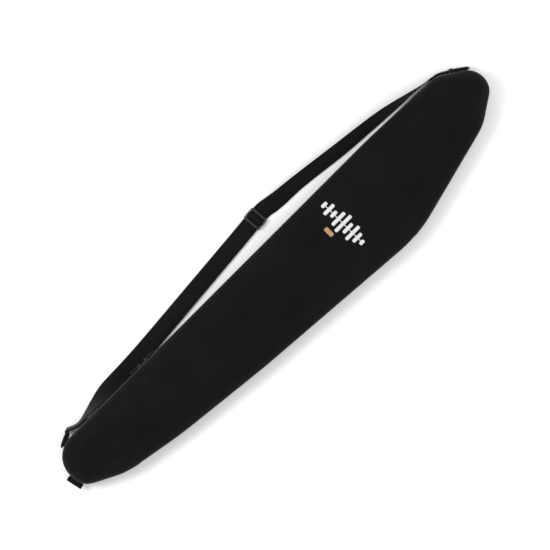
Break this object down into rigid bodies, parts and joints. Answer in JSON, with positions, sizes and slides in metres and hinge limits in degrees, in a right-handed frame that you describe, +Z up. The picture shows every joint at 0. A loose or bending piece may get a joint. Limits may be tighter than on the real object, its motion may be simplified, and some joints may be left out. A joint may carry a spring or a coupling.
{
  "type": "boom pole carry bag",
  "caption": "Long tapered padded carry bag for a telescopic boom pole: zipped clamshell halves, webbing shoulder strap on D rings.",
  "frame": {"origin": "under the middle of the bag, on the surface it lies on, at the bottom centre of its box", "axes": "+X along the bag towards the blunt end, +Y towards the straight zip edge and the strap, +Z up out of the front panel"},
  "size_m": [0.9869, 0.2311, 0.0506],
  "materials": {
    "outer_fabric": "matt woven nylon",
    "padding": "closed-cell foam sheet",
    "lining": "smooth woven lining",
    "binding": "ribbed binding tape",
    "zip_tape": "twill zip tape",
    "zip_teeth": "nylon coil",
    "zip_metal": "black lacquered zinc",
    "ring_metal": "black lacquered steel wire",
    "webbing": "ribbed polypropylene webbing",
    "adjuster_plastic": "moulded acetal",
    "white_print": "screen-printed white ink",
    "tan_print": "screen-printed tan ink"
  },
  "bodies": {
    "back_half": {"back_shell": "outer_fabric", "back_padding": "padding", "back_lining": "lining", "back_binding": "binding", "back_zip_tape": "zip_tape", "back_zip_teeth": "zip_teeth", "left_zip_stop": "binding", "right_zip_stop": "binding", "hinge_strip": "outer_fabric", "left_ring_tab": "webbing", "right_ring_tab": "webbing", "end_loop": "webbing", "strap_webbing": "webbing", "strap_return": "webbing"},
    "front_half": {"front_shell": "outer_fabric", "front_padding": "padding", "front_lining": "lining", "front_binding": "binding", "front_zip_tape": "zip_tape", "front_zip_teeth": "zip_teeth", "printed_mark": "white_print", "printed_accent": "tan_print"},
    "left_slider": {"left_zip_slider": "zip_metal"},
    "right_slider": {"right_zip_slider": "zip_metal"},
    "left_pull": {"left_zip_pull": "zip_metal"},
    "right_pull": {"right_zip_pull": "zip_metal"},
    "left_ring": {"left_d_ring": "ring_metal"},
    "right_ring": {"right_d_ring": "ring_metal"},
    "adjuster": {"strap_adjuster": "adjuster_plastic", "adjuster_webbing_loop": "webbing"}
  },
  "joints": [
    {"name": "front_half_hinge", "type": "hinge", "parent": "back_half", "child": "front_half", "pos_m": [0, -0.0811, 0.025], "axis": [0.9955, -0.0947, 0], "range_deg": [0, 175]},
    {"name": "left_slider_travel", "type": "slide", "parent": "back_half", "child": "left_slider", "axis": [-1, 0, 0], "range_m": [0, 0.07]},
    {"name": "right_slider_travel", "type": "slide", "parent": "back_half", "child": "right_slider", "axis": [1, 0, 0], "range_m": [0, 0.5]},
    {"name": "left_pull_swing", "type": "hinge", "parent": "left_slider", "child": "left_pull", "pos_m": [-0.2686, 0.0846, 0.025], "axis": [0, 0, -1], "range_deg": [0, 110]},
    {"name": "right_pull_swing", "type": "hinge", "parent": "right_slider", "child": "right_pull", "pos_m": [-0.2554, 0.0846, 0.025], "axis": [0, 0, 1], "range_deg": [0, 110]},
    {"name": "left_ring_swing", "type": "hinge", "parent": "back_half", "child": "left_ring", "pos_m": [-0.44794, 0.08403, 0.0173], "axis": [0.9135, 0.4067, 0], "range_deg": [0, 120]},
    {"name": "right_ring_swing", "type": "hinge", "parent": "back_half", "child": "right_ring", "pos_m": [0.4742, 0.05304, 0.0173], "axis": [0.8192, -0.5736, 0], "range_deg": [0, 120]},
    {"name": "adjuster_travel", "type": "slide", "parent": "back_half", "child": "adjuster", "axis": [-0.9965, -0.0835, 0], "range_m": [0, 0.2]}
  ]
}
